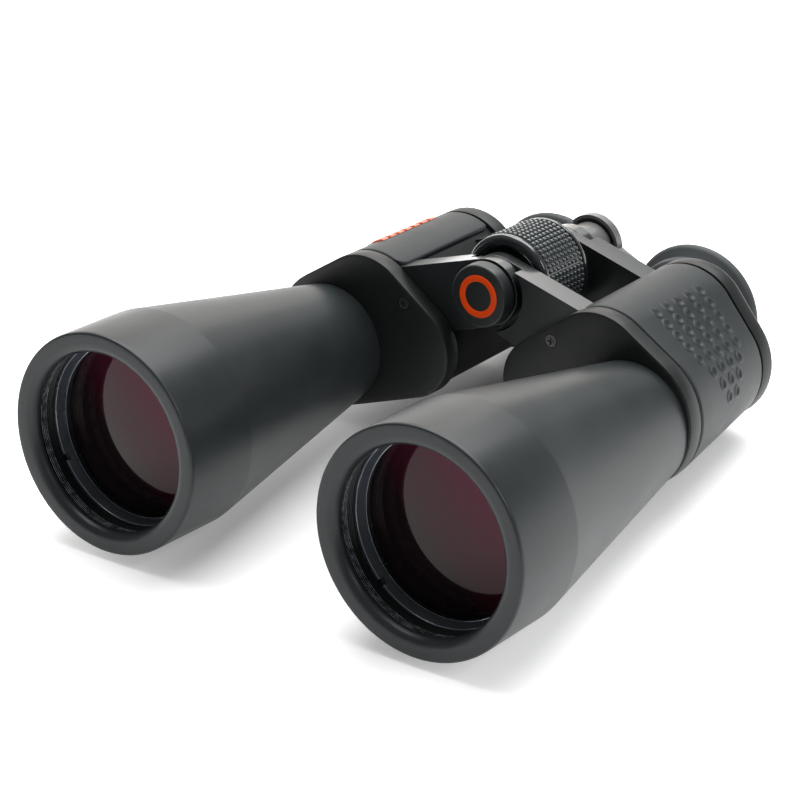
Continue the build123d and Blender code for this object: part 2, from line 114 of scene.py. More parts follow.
def surface(
    name,
    colour,
    roughness=(0.4, 0.5),
    mottle=0.15,
    mottle_scale=40.0,
    grain_scale=1500.0,
    grain=0.25,
    grain_depth=0.00005,
    metallic=0.0,
    ior=1.5,
    specular=0.5,
    coat=0.0,
    wear=0.0,
):
    """A procedural finish: mottled colour, uneven gloss and a fine moulded or painted grain."""
    material = bpy.data.materials.new(name)
    material.use_nodes = True
    tree = material.node_tree
    tree.nodes.clear()
    out = tree.nodes.new("ShaderNodeOutputMaterial")
    shader = add(
        tree, "ShaderNodeBsdfPrincipled", Metallic=metallic, IOR=ior,
        Specular_IOR_Level=specular, Coat_Weight=coat, Coat_Roughness=0.12,
    )
    tree.links.new(shader.outputs[0], out.inputs["Surface"])

    coords = tree.nodes.new("ShaderNodeTexCoord")
    cloud = add(tree, "ShaderNodeTexNoise", Scale=mottle_scale, Detail=4.0, Roughness=0.6)
    tree.links.new(coords.outputs["Object"], cloud.inputs["Vector"])
    dark, light = 1.0 - mottle, 1.0 + mottle
    patches = (
        (0.3, (*[c * dark for c in colour[:3]], 1.0)),
        (0.7, (*[min(1.0, c * light) for c in colour[:3]], 1.0)),
    )
    last_colour = colour_ramp(tree, cloud.outputs["Fac"], patches)

    if wear:
        geometry = tree.nodes.new("ShaderNodeNewGeometry")
        edge = map_range(tree, geometry.outputs["Pointiness"], 0.52, 0.62, 0.0, wear)
        rubbed = tree.nodes.new("ShaderNodeMix")
        rubbed.data_type = "RGBA"
        rubbed.inputs["B"].default_value = (*[min(1.0, c * 2.2 + 0.01) for c in colour[:3]], 1.0)
        tree.links.new(edge, rubbed.inputs["Factor"])
        tree.links.new(last_colour, rubbed.inputs["A"])
        last_colour = rubbed.outputs["Result"]
    tree.links.new(last_colour, shader.inputs["Base Color"])

    gloss = map_range(tree, cloud.outputs["Fac"], 0.3, 0.7, *roughness)
    tree.links.new(gloss, shader.inputs["Roughness"])

    speck = add(tree, "ShaderNodeTexNoise", Scale=grain_scale, Detail=3.0, Roughness=0.65)
    tree.links.new(coords.outputs["Object"], speck.inputs["Vector"])
    bump = add(tree, "ShaderNodeBump", Strength=grain, Distance=grain_depth)
    tree.links.new(speck.outputs["Fac"], bump.inputs["Height"])
    tree.links.new(bump.outputs["Normal"], shader.inputs["Normal"])
    return material


COOL = (0.82, 1.0, 1.07)
SURFACES = {
    "barrel_paint": surface(
        "barrel_paint", grey(0.023, COOL), (0.31, 0.38), specular=0.3, wear=0.2
    ),
    "cover_black": surface("cover_black", grey(0.005, COOL), (0.42, 0.55), grain=0.35),
    "cover_band": surface(
        "cover_band", grey(0.008, COOL), (0.40, 0.50), grain=0.3, specular=0.36
    ),
    "housing_plastic": surface("housing_plastic", grey(0.008, COOL), (0.45, 0.55), specular=0.2),
    "armour_rubber": surface(
        "armour_rubber", grey(0.025, COOL), (0.40, 0.52), grain=0.35, grain_scale=2200.0,
        specular=0.28,
    ),
    "arm_paint": surface(
        "arm_paint", grey(0.014, COOL), (0.26, 0.32), 0.05, grain=0.06, specular=0.7, coat=0.8
    ),
    "bridge_paint": surface("bridge_paint", grey(0.12), (0.30, 0.38), 0.06, grain=0.1, coat=0.3),
    "black_anodised": surface(
        "black_anodised", grey(0.015, (0.85, 1.0, 1.25)), (0.20, 0.30), specular=0.8
    ),
    "ring_anodised": surface(
        "ring_anodised", grey(0.045, (0.85, 1.0, 1.2)), (0.25, 0.35), specular=0.8
    ),
    # A painted highlight: a bright colour on the rings' narrow edges stands in for the light they
    # catch.
    "edge_glint": surface("edge_glint", grey(0.45, (0.9, 1.0, 1.1)), (0.2, 0.3), metallic=0.5),
    # Painted glints: bright, patchy colour on the thread lands near the cell's mouth stands in for
    # their reflections.
    "thread_glint": surface(
        "thread_glint", grey(0.45, (0.9, 1.0, 1.1)), (0.20, 0.35), 0.98, 420.0, specular=0.6
    ),
    "thread_black": surface("thread_black", grey(0.008, COOL), (0.25, 0.40), specular=0.25),
    "black_steel": surface("black_steel", grey(0.10), (0.25, 0.35), metallic=0.7),
    "spring_steel": surface("spring_steel", grey(0.45), (0.25, 0.35), metallic=1.0),
    "shaft_steel": surface("shaft_steel", grey(0.35), (0.25, 0.35), metallic=1.0),
    "washer_brass": surface("washer_brass", (0.5, 0.33, 0.12, 1.0), (0.3, 0.4), metallic=1.0),
    "wheel_plastic": surface("wheel_plastic", grey(0.018, COOL), (0.10, 0.16), coat=0.8, grain=0.05),
    "grip_rubber": surface("grip_rubber", grey(0.050, COOL), (0.16, 0.24), coat=0.7, grain=0.05),
    "eyepiece_black": surface("eyepiece_black", grey(0.025, COOL), (0.3, 0.4), wear=0.3),
    "eyecup_rubber": surface("eyecup_rubber", grey(0.036, COOL), (0.50, 0.60), grain=0.4),
    "cap_plastic": surface("cap_plastic", grey(0.018, COOL), (0.32, 0.42), wear=0.3),
    "badge_orange": surface(
        "badge_orange", (0.95, 0.072, 0.0, 1.0), (0.40, 0.50), mottle=0.05, specular=0.25
    ),
    "dash_orange": surface(
        "dash_orange", (0.62, 0.075, 0.012, 1.0), (0.22, 0.30), mottle=0.1, specular=0.6, coat=0.6
    ),
}


def coated_glass(name, body, reflection, ior=1.6, stops=()):
    """A dark lens seen from in front: the coating tints what the front surface reflects.

    stops are (place, colour) pairs of a painted reflection across an objective, from its lower side
    towards -X to its upper side towards +X: the coating's purple to magenta sheen painted into the
    lens's colour.
    """
    material = surface(name, body, (0.02, 0.04), 0.35, 18.0, 300.0, 0.02, ior=ior)
    tree = material.node_tree
    shader = next(node for node in tree.nodes if node.type == "BSDF_PRINCIPLED")
    shader.inputs["Specular Tint"].default_value = reflection
    # Paints the coating's reflected colour across the lens, darker below and magenta towards the top.
    if stops:
        coords = next(node for node in tree.nodes if node.type == "TEX_COORD")
        parts = tree.nodes.new("ShaderNodeSeparateXYZ")
        tree.links.new(coords.outputs["Object"], parts.inputs[0])
        half = combine(tree, "SIGN", parts.outputs["X"])
        across = combine(tree, "MULTIPLY_ADD", half, -OBJECTIVE_X * MM, parts.outputs["X"])
        slant = combine(tree, "ADD", parts.outputs["Z"], across)
        share = map_range(tree, slant, (HOOD_R - 40.0) * MM, (HOOD_R + 40.0) * MM)
        tree.links.new(colour_ramp(tree, share, stops), shader.inputs["Base Color"])
    return material


SURFACES["objective_glass"] = coated_glass(
    "objective_glass",
    (0.026, 0.007, 0.011, 1.0),
    (0.36, 0.28, 0.27, 1.0),
    1.5,
    # Painted reflection: near black low down, the coating's purple and magenta sheen towards the top.
    (
        (0.30, (0.008, 0.005, 0.006, 1.0)),
        (0.44, (0.022, 0.004, 0.008, 1.0)),
        (0.60, (0.036, 0.006, 0.014, 1.0)),
        (0.90, (0.090, 0.004, 0.028, 1.0)),
    ),
)
SURFACES["eyepiece_glass"] = coated_glass(
    "eyepiece_glass", (0.006, 0.004, 0.010, 1.0), (0.7, 0.6, 1.0, 1.0)
)
SURFACES["prism_glass"] = coated_glass(
    "prism_glass", (0.02, 0.022, 0.024, 1.0), (1.0, 1.0, 1.0, 1.0), 1.57
)


# --- mesh helpers ------------------------------------------------------------------------
def face_outwards(mesh):
    """Turns the faces of a closed mesh outwards."""
    shape = bmesh.new()
    shape.from_mesh(mesh)
    bmesh.ops.recalc_face_normals(shape, faces=shape.faces)
    shape.to_mesh(mesh)
    shape.free()


def solid(mesh):
    """A temporary object round a closed mesh, for cutting and bevelling."""
    face_outwards(mesh)
    obj = bpy.data.objects.new("solid", mesh)
    SCENE.collection.objects.link(obj)
    return obj


def finish_mesh(name, mesh, finish, body, nodes=(), slot=None, sharp=32.0, weighted=False):
    """Shades a mesh and hangs it on its body, in place of the CAD nodes it stands for."""
    face_outwards(mesh)
    mesh.polygons.foreach_set("use_smooth", [True] * len(mesh.polygons))
    mesh.set_sharp_from_angle(angle=math.radians(sharp))
    obj = bpy.data.objects.new(name, mesh)
    SCENE.collection.objects.link(obj)
    if not mesh.materials:
        mesh.materials.append(SURFACES[finish])
    if weighted:
        normals = obj.modifiers.new("normals", "WEIGHTED_NORMAL")
        normals.keep_sharp = True
    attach(obj, body)
    if nodes:
        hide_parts(*nodes)
    return obj


def to_mesh(name, points, faces, sign=1):
    """A mesh from points of the optical frame; sign -1 mirrors them to the other half."""
    mesh = bpy.data.meshes.new(name)
    mesh.from_pydata([row(sign * x, y, z) for x, y, z in points], [], faces)
    mesh.update()
    return mesh


def soften(profile, reach=0.35, steps=3):
    """Rounds the corners of a closed line of points; a third value on a point is its own reach."""
    count = len(profile)
    soft = []
    for i, corner in enumerate(profile):
        here = Vector(corner[:2])
        own = corner[2] if len(corner) > 2 else reach
        if own == 0:
            soft.append(tuple(here))
            continue
        before = Vector(profile[i - 1][:2]) - here
        after = Vector(profile[(i + 1) % count][:2]) - here
        if before.length < 1e-6 or after.length < 1e-6 or before.angle(after) > 3.0:
            soft.append(tuple(here))
            continue
        start = here + before.normalized() * min(own, before.length * 0.45)
        end = here + after.normalized() * min(own, after.length * 0.45)
        for k in range(steps + 1):
            t = k / steps
            soft.append(tuple(start * (1 - t) ** 2 + here * 2 * t * (1 - t) + end * t * t))
    return soft


def lathe(profile, centre=(0.0, 0.0), segments=144):
    """Points and faces of a closed (radius, y) line turned about an axis along Y."""
    points, faces, rings = [], [], []
    for radius, y in profile:
        if radius < 1e-6:
            rings.append([len(points)])
            points.append((centre[0], y, centre[1]))
            continue
        rings.append(list(range(len(points), len(points) + segments)))
        for k in range(segments):
            a = 2 * math.pi * k / segments
            points.append((centre[0] + radius * math.cos(a), y, centre[1] + radius * math.sin(a)))
    for i, ring in enumerate(rings):
        following = rings[(i + 1) % len(rings)]
        if len(ring) == 1 and len(following) == 1:
            continue
        for k in range(segments):
            n = (k + 1) % segments
            if len(ring) == 1:
                faces.append((ring[0], following[n], following[k]))
            elif len(following) == 1:
                faces.append((ring[k], ring[n], following[0]))
            else:
                faces.append((ring[k], ring[n], following[n], following[k]))
    return points, faces


def turned(name, profile, finish, body, centre=(0.0, 0.0), sign=1, nodes=(), slot=None, **more):
    """A finished piece turned from a closed (radius, y) line."""
    segments = more.pop("segments", 144)
    points, faces = lathe(profile, centre, segments)
    mesh = to_mesh(name, points, faces, sign)
    return finish_mesh(name, mesh, finish, body, nodes, slot, **more)


def hull(circles, inset=0.0, per_arc=22, per_line=14):
    """The taut line round circles given anticlockwise, as (x, z) points of a fixed count."""
    rounds = [(x, z, r - inset) for x, z, r in circles]
    count = len(rounds)
    leaving, arriving = [], [None] * count
    for i, (x0, z0, r0) in enumerate(rounds):
        x1, z1, r1 = rounds[(i + 1) % count]
        span = math.hypot(x1 - x0, z1 - z0)
        ux, uz = (x1 - x0) / span, (z1 - z0) / span
        along = (r0 - r1) / span
        side = math.sqrt(1 - along * along)
        nx, nz = ux * along + uz * side, uz * along - ux * side
        leaving.append((x0 + r0 * nx, z0 + r0 * nz))
        arriving[(i + 1) % count] = (x1 + r1 * nx, z1 + r1 * nz)
    line = []
    for i, (x, z, r) in enumerate(rounds):
        start = math.atan2(arriving[i][1] - z, arriving[i][0] - x)
        end = math.atan2(leaving[i][1] - z, leaving[i][0] - x)
        sweep = (end - start) % (2 * math.pi)
        for k in range(per_arc):
            a = start + sweep * k / per_arc
            line.append((x + r * math.cos(a), z + r * math.sin(a)))
        (xa, za), (xb, zb) = leaving[i], arriving[(i + 1) % count]
        for k in range(per_line):
            t = k / per_line
            line.append((xa + (xb - xa) * t, za + (zb - za) * t))
    return line


def lobes_at(y):
    """The three circles of a prism body's outline at a place along it."""
    t = (y - BODY_Y) / (COVER_Y - BODY_Y)
    return tuple(
        tuple(a + (b - a) * t for a, b in zip(front, rear))
        for front, rear in zip(FRONT_LOBES, REAR_LOBES)
    )


def skin(rings):
    """Points and faces over equal closed rings of (x, y, z), the last joined to the first."""
    size = len(rings[0])
    points = [p for ring in rings for p in ring]
    faces = []
    for i in range(len(rings)):
        a, b = i * size, ((i + 1) % len(rings)) * size
        for k in range(size):
            n = (k + 1) % size
            faces.append((a + k, a + n, b + n, b + k))
    return points, faces


def level(line, y):
    """A flat (x, z) line set at one place along the light path."""
    return [(x, y, z) for x, z in line]


def slab_object(line, start, end, sign=1):
    """A temporary closed slab from an (x, z) line."""
    points = level(line, start) + level(line, end)
    size = len(line)
    faces = [tuple(range(size)), tuple(reversed(range(size, 2 * size)))]
    for k in range(size):
        n = (k + 1) % size
        faces.append((k, k + size, n + size, n))
    mesh = to_mesh("slab", points, faces, sign)
    return solid(mesh)


def disc_line(radius, centre=(0.0, 0.0), count=64):
    """A circle as a closed (x, z) line."""
    steps = [2 * math.pi * k / count for k in range(count)]
    return [(centre[0] + radius * math.cos(a), centre[1] + radius * math.sin(a)) for a in steps]


def carved(obj, cutters=(), unions=(), bevel=0.0, limit=40.0, segments=2):
    """Cuts or joins temporary solids, rounds the edges, and returns the settled mesh."""
    for tool, operation in [(t, "UNION") for t in unions] + [(t, "DIFFERENCE") for t in cutters]:
        step = obj.modifiers.new("step", "BOOLEAN")
        step.operation = operation
        step.solver = "EXACT"
        step.object = tool
    if bevel:
        edge = obj.modifiers.new("edge", "BEVEL")
        edge.width = bevel * MM
        edge.segments = segments
        edge.limit_method = "ANGLE"
        edge.angle_limit = math.radians(limit)
    graph = bpy.context.evaluated_depsgraph_get()
    mesh = bpy.data.meshes.new_from_object(obj.evaluated_get(graph))
    for used in (obj, *cutters, *unions):
        bpy.data.objects.remove(used)
    return mesh


# --- objective end -----------------------------------------------------------------------
CELL_R = 36.4
THREAD_CREST_R = 32.55
THREAD_ROOT_R = 33.0
THREAD_PITCH = 0.75
# The thread lands in front of this place carry painted glints.
THREAD_GLINT_TO_Y = 8.6
BARREL_PROFILE = soften(
    [
        (31.0, 2.6, 0.5),
        (31.9, 0.9, 0.9),
        (33.6, 0.12, 1.2),
        (36.4, 0.0, 0.9),
        (HOOD_R, 0.0, 1.7),
        (HOOD_R, 29.7, 1.0),
        (HOOD_R - 0.15, 31.0, 0.6),
        (NECK_R, PLATE_Y, 0.0),
        (NECK_R, BODY_Y - 0.2, 0.3),
        (NECK_R - 2.1, BODY_Y - 0.2, 0.3),
        (NECK_R - 2.1, PLATE_Y, 0.0),
        (CELL_R + 0.02, 31.0, 0.0),
        (CELL_R + 0.02, 4.7, 0.0),
        (32.6, 4.7, 0.3),
        (31.0, 3.9, 0.4),
    ],
    steps=6,
)


def cell_profile():
    """The cell's bore carries a fine thread in front of the retaining ring's seat."""
    crest, root, pitch = THREAD_CREST_R, THREAD_ROOT_R, THREAD_PITCH
    line = [(CELL_R, 5.0), (CELL_R, 30.0), (29.5, 30.0), (29.5, 27.0)]
    line += [(31.25, 27.0), (31.25, 18.6), (root, 18.6), (root, 12.0)]
    turn = 11.6
    while turn - pitch > 5.2:
        line += [(root, turn), (crest, turn - pitch * 0.35)]
        line += [(crest, turn - pitch * 0.55), (root, turn - pitch * 0.9)]
        turn -= pitch
    return line + [(root, 5.0)]


def ring_mesh(name, sign):
    """The retaining ring: a conical inner face, a narrow front edge and two spanner notches."""
    profile = soften(
        [(33.0, 12.2), (33.0, 15.4), (30.5, 15.4), (30.7, 15.0), (31.8, 12.2)], 0.18, 2
    )
    points, faces = lathe(profile, (OBJECTIVE_X, 0.0), 180)
    ring = solid(to_mesh(name, points, faces, sign))
    cutters = []
    first = 227.0 if sign > 0 else 331.0
    for angle in (first, first - 180.0):
        a = math.radians(angle)
        along, across = Vector((math.cos(a), math.sin(a))), Vector((-math.sin(a), math.cos(a)))
        corners = [
            Vector((OBJECTIVE_X, 0)) + along * r + across * w
            for r, w in ((30.0, -1.2), (33.6, -1.2), (33.6, 1.2), (30.0, 1.2))
        ]
        cutters.append(slab_object([tuple(c) for c in corners], 11.5, 13.6, sign))
    return carved(ring, cutters)


def lens_profile(radius, front, front_curve, back, back_curve, steps=16):
    """A closed (radius, y) line of a lens whose rim is ground to a small chamfer."""

    def rise(vertex, curve, r):
        depth = abs(curve) - math.sqrt(curve * curve - r * r)
        return vertex + (depth if curve > 0 else -depth)

    line = [(radius * k / steps, rise(front, front_curve, radius * k / steps)) for k in range(steps)]
    line.append((radius - 0.25, rise(front, front_curve, radius - 0.25)))
    line.append((radius, rise(front, front_curve, radius) + 0.25))
    line.append((radius, rise(back, back_curve, radius) - 0.25))
    line.append((radius - 0.25, rise(back, back_curve, radius - 0.25)))
    line += [
        (radius * k / steps, rise(back, back_curve, radius * k / steps))
        for k in range(steps - 1, -1, -1)
    ]
    return line


def split_faces(mesh, test, extra):
    """Gives the faces whose centre passes the test a second finish."""
    mesh.materials.append(SURFACES[extra])
    index = len(mesh.materials) - 1
    for face in mesh.polygons:
        if test(face):
            face.material_index = index


def near_circle(sign, radius, y, reach):
    """A test for faces close to a circle round an objective's axis."""
    centre = Vector(row(sign * OBJECTIVE_X, y, 0.0))

    def test(face):
        offset = face.center - centre
        return abs(math.hypot(offset.x, offset.z) - radius * MM) < reach * MM and (
            abs(offset.y) < reach * MM
        )

    return test


def near_crest(sign):
    """A test for the lands of the cell's thread near its mouth, which get a painted glint."""
    centre = Vector(row(sign * OBJECTIVE_X, THREAD_GLINT_TO_Y, 0.0))

    def test(face):
        across = math.hypot(face.center.x - centre.x, face.center.z - centre.z)
        return face.center.y < centre.y and abs(across - THREAD_CREST_R * MM) < 0.06 * MM

    return test


for side, sign in SIDES:
    body = f"{side}_half"
    axis = (OBJECTIVE_X, 0.0)
    turned(
        f"{side}_barrel",
        BARREL_PROFILE,
        "barrel_paint",
        body,
        axis,
        sign,
        (f"{side}_objective_barrel", f"{side}_hood_ring"),
        segments=192,
        sharp=40.0,
    )
    cell = turned(
        f"{side}_cell", cell_profile(), "thread_black", body, axis, sign,
        (f"{side}_objective_cell",), "black_anodised", segments=144,
    )
    # Paints glints onto the thread lands near the mouth.
    split_faces(cell.data, near_crest(sign), "thread_glint")
    mesh = ring_mesh(f"{side}_ring", sign)
    mesh.materials.append(SURFACES["ring_anodised"])
    # Paints a highlight line onto the retaining ring's front edge.
    split_faces(mesh, near_circle(sign, 31.8, 12.25, 0.22), "edge_glint")
    finish_mesh(
        f"{side}_ring", mesh, "ring_anodised", body,
        (f"{side}_retaining_ring",), "black_anodised", weighted=True,
    )
    press_ring = turned(
        f"{side}_press_ring",
        soften([(31.1, 15.6), (31.1, 18.0), (30.4, 18.0), (30.4, 15.6)], 0.15, 2),
        "black_anodised", body, axis, sign, (f"{side}_pressure_ring",),
    )
    # Paints a highlight line onto the press ring's inner front edge.
    split_faces(press_ring.data, near_circle(sign, 30.4, 15.6, 0.22), "edge_glint")
    turned(
        f"{side}_crown",
        lens_profile(31.15, 15.8, 200.0, 24.85, -110.0),
        "objective_glass", body, axis, sign, (f"{side}_crown_lens",),
    )


# --- prism housings ----------------------------------------------------------------------
PLATE_SCREWS = ((30.9, 22.4), (69.0, -16.5))
COVER_SCREWS = ((63.0, 15.0), (64.0, -10.0), (42.0, 27.0))
SCREW_SEAT_R = 2.4
ARM_ROOT = (35.0, 20.0, 13.0)
ARM_ROOT_REAR = (35.0, 19.0, 12.5)
ARM_BORE_R = 6.05
KNUCKLE_GAP = 0.15
KNUCKLE_ROUND = 2.2
GUIDE_BORE_R = 12.9
ARMS = (
    ("front_arm", (130.0, 139.7), ARM_ROOT, 12.0),
    ("rear_arm", (175.0, 185.0), ARM_ROOT_REAR, 11.0),
)


def blend_line(outer, centre, radius, share):
    """Points between a hull line and a circle about centre, for a flat face with a round hole."""
    line = []
    for x, z in outer:
        a = math.atan2(z - centre[1], x - centre[0])
        cx, cz = centre[0] + radius * math.cos(a), centre[1] + radius * math.sin(a)
        line.append((x + (cx - x) * share, z + (cz - z) * share))
    return line


def plate_mesh(name, sign):
    """The front plate: flat black face with a round hole for the neck, and a rounded rim."""
    hole, hole_r, thick = (OBJECTIVE_X, 0.0), NECK_R + 0.03, 7.05
    rim = [(0.9, 0.0), (0.42, 0.1), (0.12, 0.35), (0.0, 0.75), (0.0, 6.5), (0.15, 6.85), (0.5, thick)]
    rings = [level(hull(FRONT_LOBES, inset), PLATE_Y + depth) for inset, depth in rim]
    back = hull(FRONT_LOBES, 1.2)
    face = hull(FRONT_LOBES, 0.9)
    for share in (0.3, 0.7, 1.0):
        rings.append(level(blend_line(back, hole, hole_r, share), PLATE_Y + thick))
    for share in (1.0, 0.85, 0.6, 0.3):
        rings.append(level(blend_line(face, hole, hole_r, share), PLATE_Y))
    points, faces = skin(rings)
    plate = solid(to_mesh(name, points, faces, sign))
    cutters = [
        slab_object(disc_line(SCREW_SEAT_R, place, 32), PLATE_Y - 1, PLATE_Y + 1.4, sign)
        for place in PLATE_SCREWS
    ]
    return carved(plate, cutters)


def cover_mesh(name, sign):
    """The rear cover: a short band, a rounded back edge and a flat back."""
    steps = 6
    round_r, thick = 3.0, 3.0
    back = COVER_BACK_Y
    line = hull(REAR_LOBES, 6.0)
    rings = [level(line, COVER_Y)]
    for inset, depth in ((0.5, 0.0), (0.15, 0.12), (0.0, 0.5)):
        rings.append(level(hull(REAR_LOBES, inset), COVER_Y + depth))
    for k in range(steps + 1):
        a = math.pi / 2 * k / steps
        inset, before_back = round_r * (1 - math.cos(a)), round_r * (1 - math.sin(a))
        rings.append(level(hull(REAR_LOBES, inset), back - before_back))
    rings.append(level(line, back))
    for share in (0.5, 1.0):
        rings.append(level(blend_line(line, EYE, GUIDE_BORE_R, share), back))
    for share in (1.0, 0.5):
        rings.append(level(blend_line(line, EYE, GUIDE_BORE_R, share), back - thick))
    rings.append(level(line, back - thick))
    points, faces = skin(rings)
    cover = solid(to_mesh(name, points, faces, sign))
    cutters = [
        slab_object(disc_line(SCREW_SEAT_R, place, 32), back - 1.4, back + 1, sign)
        for place in COVER_SCREWS
    ]
    return carved(cover, cutters)


def housing_mesh(name, sign):
    """The prism box: the wall that shows between the arms, and its hollow inside."""
    outer = [(BODY_Y, 2.2), (BODY_Y + 0.25, SKIN + 0.1), (BODY_Y + 0.7, SKIN)]
    steps = 8
    for k in range(1, steps):
        outer.append((BODY_Y + (COVER_Y - BODY_Y) * k / steps, SKIN))
    outer += [(COVER_Y - 0.7, SKIN), (COVER_Y - 0.25, SKIN + 0.1), (COVER_Y, 2.2)]
    rings = [level(hull(lobes_at(y), inset), y) for y, inset in outer]
    rings += [level(hull(lobes_at(y), WALL), y) for y in (COVER_Y, BODY_Y)]
    points, faces = skin(rings)
    return to_mesh(name, points, faces, sign)


def arm_mesh(span, root, knuckle_r, knuckle_is_front, sign):
    """A hinge arm: full depth along its length, half depth where the two knuckles interleave."""
    start, end = span
    middle = (start + end) / 2
    line = hull(((*AXIS, knuckle_r), root), 0.0, 40, 16)
    arm = slab_object(line, start, end, sign)
    clear = disc_line(knuckle_r + KNUCKLE_ROUND, AXIS, 96)
    far = (start - 1, middle + KNUCKLE_GAP)
    if knuckle_is_front:
        far = (middle - KNUCKLE_GAP, end + 1)
    cutters = [
        slab_object(clear, *far, sign),
        slab_object(disc_line(ARM_BORE_R, AXIS, 64), start - 2, end + 2, sign),
    ]
    return carved(arm, cutters, bevel=0.35, limit=30.0, segments=3)


# The armour's dimples: rows along the body, each (how many, their pitch), 5.35 mm apart round
# the skin from the uppermost row.
DIMPLE_ROWS = ((5, 7.2), (5, 7.2), (5, 7.2), (5, 7.15), (5, 7.1), (4, 7.0), (3, 6.9), (2, 6.6))
DIMPLE_ROW_STEP = 5.35
DIMPLE_FIRST = (60.2, 33.4)
DIMPLE_MIDDLE_Y = 158.0
DIMPLE_R = 1.88
DIMPLE_RIM, DIMPLE_RIM_SPREAD = 0.30, 0.36
DIMPLE_DISH, DIMPLE_DISH_R = 0.34, 1.6
DIMPLE_REACH = 3.0


def walk(line, start, distance):
    """The point a distance along a dense closed line, clockwise from the point nearest start."""
    index = min(range(len(line)), key=lambda i: math.dist(line[i], start))
    while distance > 0:
        following = (index - 1) % len(line)
        distance -= math.dist(line[index], line[following])
        index = following
    return line[index]


def dimple_centres():
    """The middle of every dimple on the armour's outer surface."""
    middle = hull(lobes_at(DIMPLE_MIDDLE_Y), 0.0, 400, 400)
    centres = []
    for k, (count, pitch) in enumerate(DIMPLE_ROWS):
        place = walk(middle, DIMPLE_FIRST, k * DIMPLE_ROW_STEP)
        for i in range(count):
            y = DIMPLE_MIDDLE_Y + (i - (count - 1) / 2) * pitch
            line = hull(lobes_at(y), 0.0, 200, 200)
            x, z = min(line, key=lambda p: math.dist(p, place))
            centres.append((x, y, z))
    return centres


def dimple_height(d):
    """How far the skin stands out (or in, below zero) at a distance from a dimple's middle."""
    rim = DIMPLE_RIM * math.exp(-(((d - DIMPLE_R) / DIMPLE_RIM_SPREAD) ** 2))
    dish = DIMPLE_DISH * max(0.0, 1 - (d / DIMPLE_DISH_R) ** 2)
    return rim - dish


def spread(start, end, step):
    """Evenly spaced values after start, up to and including end."""
    count = max(1, round((end - start) / step))
    return [start + (end - start) * k / count for k in range(1, count + 1)]


def dashes_mesh(name, sign):
    """A row of plain raised dashes along the top of the armour, each a rounded pad."""
    count, long, pitch, tall = 7, 3.5, 4.9, 0.75
    first_y = 143.0
    across = (54.6, 60.4)
    shares = (0.0, 0.0, 0.06, 0.16, 0.35, 0.5, 0.65, 0.84, 0.94, 1.0, 1.0)
    lifts = (-0.4, 0.25, 0.6, 0.9, 1.0, 1.0, 1.0, 0.9, 0.6, 0.25, -0.4)
    points, faces = [], []
    for k in range(count):
        base = len(points)
        for u, up in zip(shares, lifts):
            y = first_y + k * pitch + long * u
            line = [p for p in hull(lobes_at(y), 0.0, 300, 300) if p[1] > 20]
            for v, side_up in zip(shares, lifts):
                x = across[0] + (across[1] - across[0]) * v
                at = min(range(1, len(line) - 1), key=lambda i: abs(line[i][0] - x))
                dx, dz = line[at + 1][0] - line[at - 1][0], line[at + 1][1] - line[at - 1][1]
                size = math.hypot(dx, dz)
                lift = tall * min(up, side_up)
                points.append((line[at][0] + dz / size * lift, y, line[at][1] - dx / size * lift))
        cols = len(shares)
        for i in range(cols - 1):
            for j in range(cols - 1):
                a = base + i * cols + j
                faces.append((a, a + 1, a + cols + 1, a + cols))
        edge = [base + j for j in range(cols)]
        edge += [base + i * cols + cols - 1 for i in range(1, cols)]
        edge += [base + (cols - 1) * cols + j for j in range(cols - 2, -1, -1)]
        edge += [base + i * cols for i in range(cols - 2, 0, -1)]
        faces.append(tuple(edge))
    return to_mesh(name, points, faces, sign)


ARMOUR_DEPTH = 1.42
ARMOUR_EDGE_R = 1.15
ARMOUR_CORNERS = (5.0, 2.5)
EDGE_STEPS = (0.0, 0.06, 0.2, 0.42, 0.7, 1.0, 1.3)
DIMPLE_CELL = 0.27
# Where the dimpled area starts and ends, along the body and down its side from the top edge.
DIMPLED_Y = (139.0, 178.5)
DIMPLED_SIDE = (24.0, 71.0)


def side_line(y):
    """The body's outline from the armour's top edge round the outside to its lower edge, and
    the distance to each of its points."""
    line = hull(lobes_at(y), 0.0, 300, 300)
    upper = [i for i in range(len(line)) if line[i][1] > 15]
    top = min(upper, key=lambda i: abs(line[i][0] - ARMOUR_EDGE_X))
    chain = [line[(top - k) % len(line)] for k in range(len(line))]
    lengths, kept = [0.0], [chain[0]]
    for p in chain[1:]:
        if p[0] < ARMOUR_EDGE_X and p[1] < 0:
            break
        lengths.append(lengths[-1] + math.dist(p, kept[-1]))
        kept.append(p)
    return kept, lengths


def marks(start, fine, end, coarse):
    """Values from start to end: close at both edges, fine over the dimples, coarse elsewhere."""
    values = [start + r for r in EDGE_STEPS]
    values += spread(values[-1], fine[0], 1.0)
    values += spread(values[-1], fine[1], DIMPLE_CELL)
    values += spread(values[-1], end - EDGE_STEPS[-1], coarse)
    return values + [end - r for r in reversed(EDGE_STEPS[:-1])]


def rounding(distance, radius):
    """How far a rounded edge is set back, at a distance in from where it ends."""
    if distance >= radius:
        return 0.0
    return radius - math.sqrt(max(0.0, radius**2 - (radius - distance) ** 2))


def dimples_at(centres, place):
    """How far the dimples near a place lift the skin, or sink it below zero."""
    near = [math.dist(c, place) for c in centres if abs(c[1] - place[1]) < DIMPLE_REACH]
    return sum(dimple_height(d) for d in near if d < DIMPLE_REACH)


